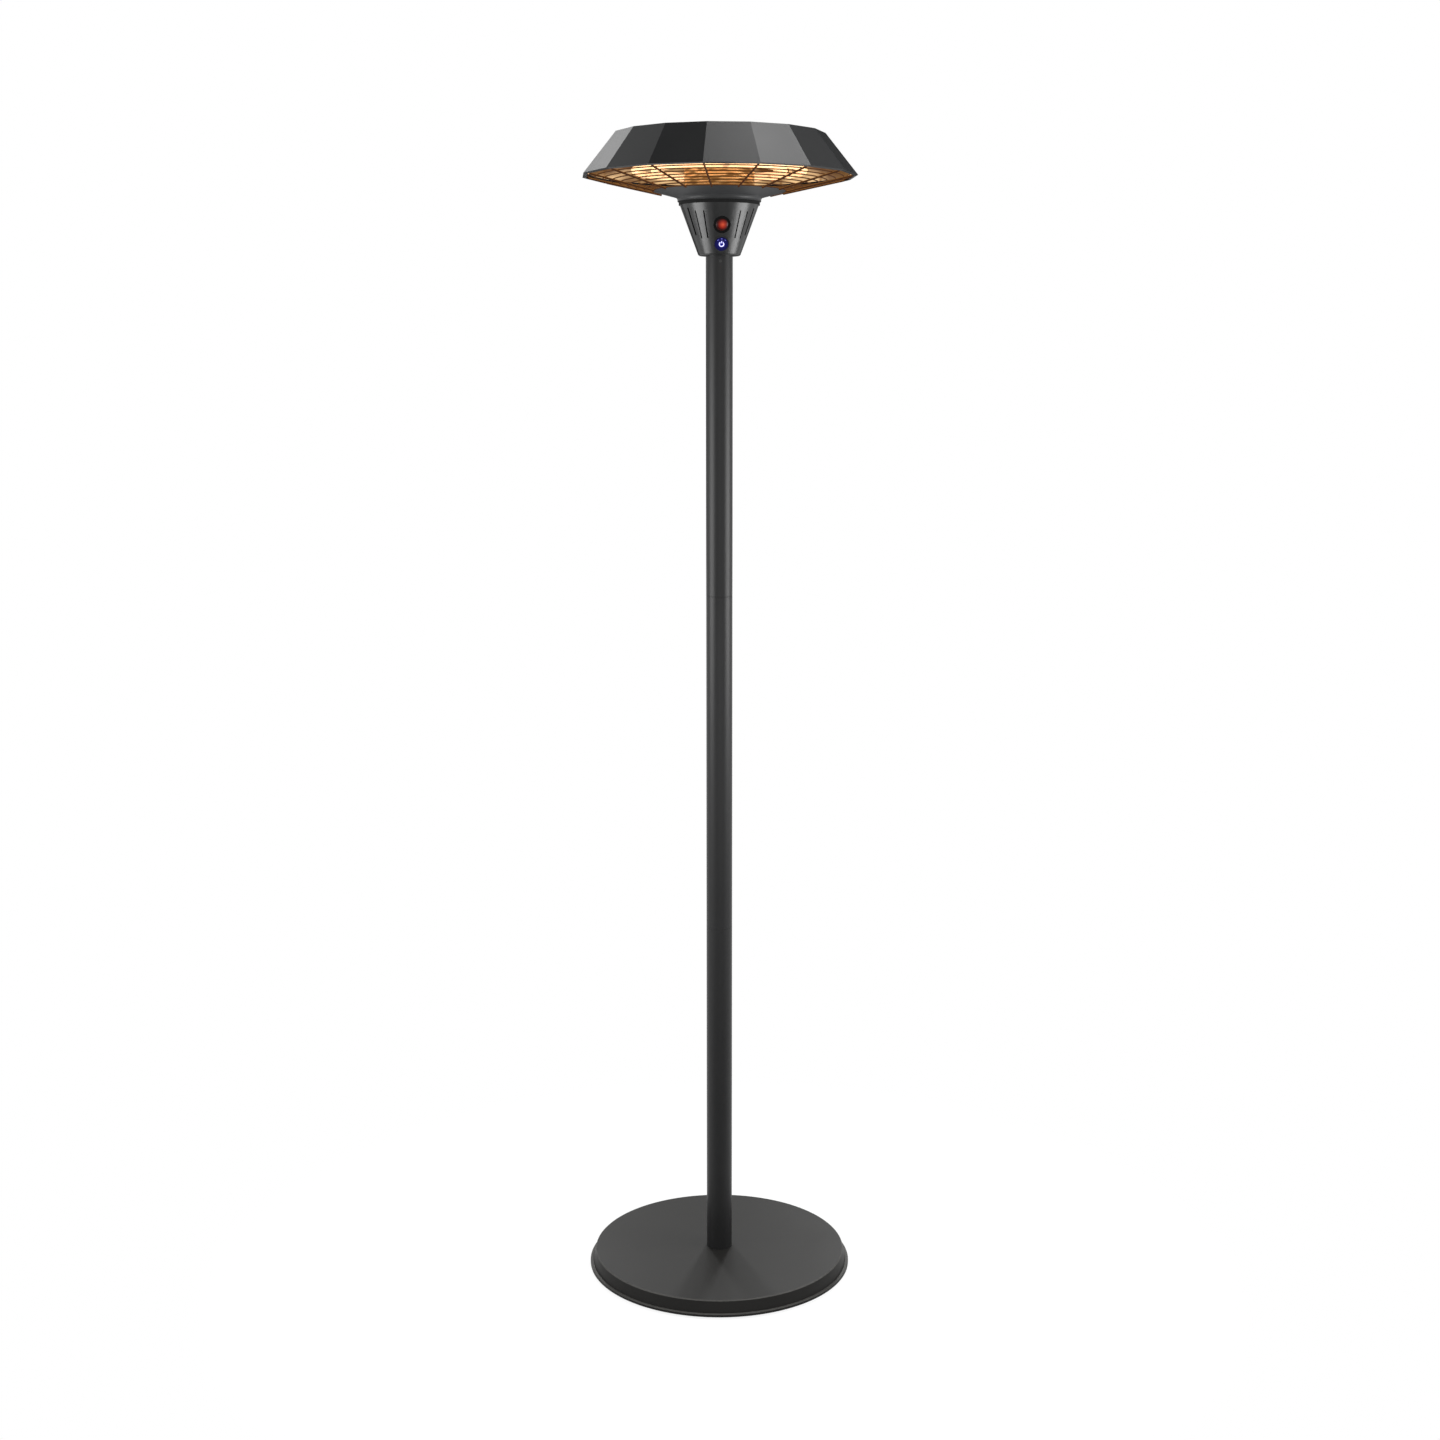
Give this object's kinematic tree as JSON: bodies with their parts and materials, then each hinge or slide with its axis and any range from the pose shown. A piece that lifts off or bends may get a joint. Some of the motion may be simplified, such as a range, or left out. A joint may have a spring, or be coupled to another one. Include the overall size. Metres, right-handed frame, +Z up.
{
  "type": "infrared patio heater tower",
  "caption": "Free-standing electric patio heater: faceted shade with ring-shaped infrared lamps behind a wire grille, conical control housing, slim round pole and a weighted round foot.",
  "frame": {"origin": "on the floor, in the middle of the foot", "axes": "+Z up along the pole, the controls face -Y"},
  "size_m": [0.4959, 0.496, 2.1022],
  "materials": {
    "ballast_disc": "rough cast",
    "base_cover": "black powder coat",
    "base_plate": "black powder coat",
    "base_plate_screws": "zinc plated",
    "board_screws": "zinc plated",
    "button_guide": "black",
    "cable_gland": "black nylon",
    "collar": "satin grey paint",
    "control_board": "green circuit board",
    "foot_plug": "machined",
    "frame_screws": "zinc plated",
    "grille": "black heat-proof paint",
    "grille_clips": "spring steel",
    "housing_front": "dark grey gloss",
    "housing_rear": "dark grey gloss",
    "housing_screws": "blackened",
    "hub": "galvanised",
    "inner_filament": "tungsten coil",
    "inner_lamp": "clear quartz",
    "lamp_bracket": "galvanised",
    "lamp_caps": "white ceramic",
    "lamp_clips": "stainless spring steel",
    "lamp_leads": "silicone sleeving",
    "lower_joint_socket": "machined",
    "lower_joint_spigot": "machined",
    "lower_tube": "black powder coat",
    "mast_head": "die cast",
    "middle_tube": "black powder coat",
    "outer_filament": "tungsten coil",
    "outer_lamp": "clear quartz",
    "pole_bolt": "zinc plated",
    "pole_set_screw": "blackened",
    "pole_washer": "zinc plated",
    "power_button": "translucent dark blue",
    "receiver_bezel": "black gloss",
    "receiver_lens": "red translucent",
    "receiver_sensor": "black moulded",
    "reflector": "bright pressed sheet",
    "reflector_screws": "zinc plated",
    "relays": "black moulded",
    "rubber_feet": "matt rubber",
    "seal_ring": "soft rubber",
    "shade": "dark grey powder coat",
    "shade_screws": "blackened",
    "shade_spacers": "turned",
    "status_leds": "white light",
    "switch_body": "black",
    "switch_plunger": "black",
    "terminal_block": "white ceramic",
    "thermal_cutout": "stainless steel cap",
    "tilt_pendulum": "turned brass",
    "tilt_switch_case": "black moulded",
    "upper_joint_socket": "machined",
    "upper_joint_spigot": "machined",
    "upper_tube": "black powder coat"
  },
  "bodies": {
    "tower": {"ballast_disc": "ballast_disc", "base_cover": "base_cover", "base_plate": "base_plate", "base_plate_screws": "base_plate_screws", "board_screws": "board_screws", "button_guide": "button_guide", "cable_gland": "cable_gland", "collar": "collar", "control_board": "control_board", "foot_plug": "foot_plug", "frame_screws": "frame_screws", "grille": "grille", "grille_clips": "grille_clips", "housing_front": "housing_front", "housing_rear": "housing_rear", "housing_screws": "housing_screws", "hub": "hub", "inner_filament": "inner_filament", "inner_lamp": "inner_lamp", "lamp_bracket": "lamp_bracket", "lamp_caps": "lamp_caps", "lamp_clips": "lamp_clips", "lamp_leads": "lamp_leads", "lower_joint_socket": "lower_joint_socket", "lower_joint_spigot": "lower_joint_spigot", "lower_tube": "lower_tube", "mast_head": "mast_head", "middle_tube": "middle_tube", "outer_filament": "outer_filament", "outer_lamp": "outer_lamp", "pole_bolt": "pole_bolt", "pole_set_screw": "pole_set_screw", "pole_washer": "pole_washer", "receiver_bezel": "receiver_bezel", "receiver_lens": "receiver_lens", "receiver_sensor": "receiver_sensor", "reflector": "reflector", "reflector_screws": "reflector_screws", "relays": "relays", "rubber_feet": "rubber_feet", "seal_ring": "seal_ring", "shade": "shade", "shade_screws": "shade_screws", "shade_spacers": "shade_spacers", "status_leds": "status_leds", "switch_body": "switch_body", "terminal_block": "terminal_block", "thermal_cutout": "thermal_cutout", "tilt_switch_case": "tilt_switch_case", "upper_joint_socket": "upper_joint_socket", "upper_joint_spigot": "upper_joint_spigot", "upper_tube": "upper_tube"},
    "button": {"power_button": "power_button"},
    "plunger": {"switch_plunger": "switch_plunger"},
    "pendulum": {"tilt_pendulum": "tilt_pendulum"}
  },
  "joints": [
    {"name": "button_press", "type": "slide", "parent": "tower", "child": "button", "axis": [0, 0.9354, 0.3537], "range_m": [0, 0.0012], "stiffness_N_per_m": 300},
    {"name": "plunger_press", "type": "slide", "parent": "tower", "child": "plunger", "axis": [0, 0.9354, 0.3537], "range_m": [0, 0.0012]},
    {"name": "pendulum_swing", "type": "hinge", "parent": "tower", "child": "pendulum", "pos_m": [0, 0.036, 1.966], "axis": [0, 1, 0], "range_deg": [-20, 20]}
  ],
  "couplings": [
    {"joint": "plunger_press", "follows": "button_press", "ratio": 1}
  ]
}
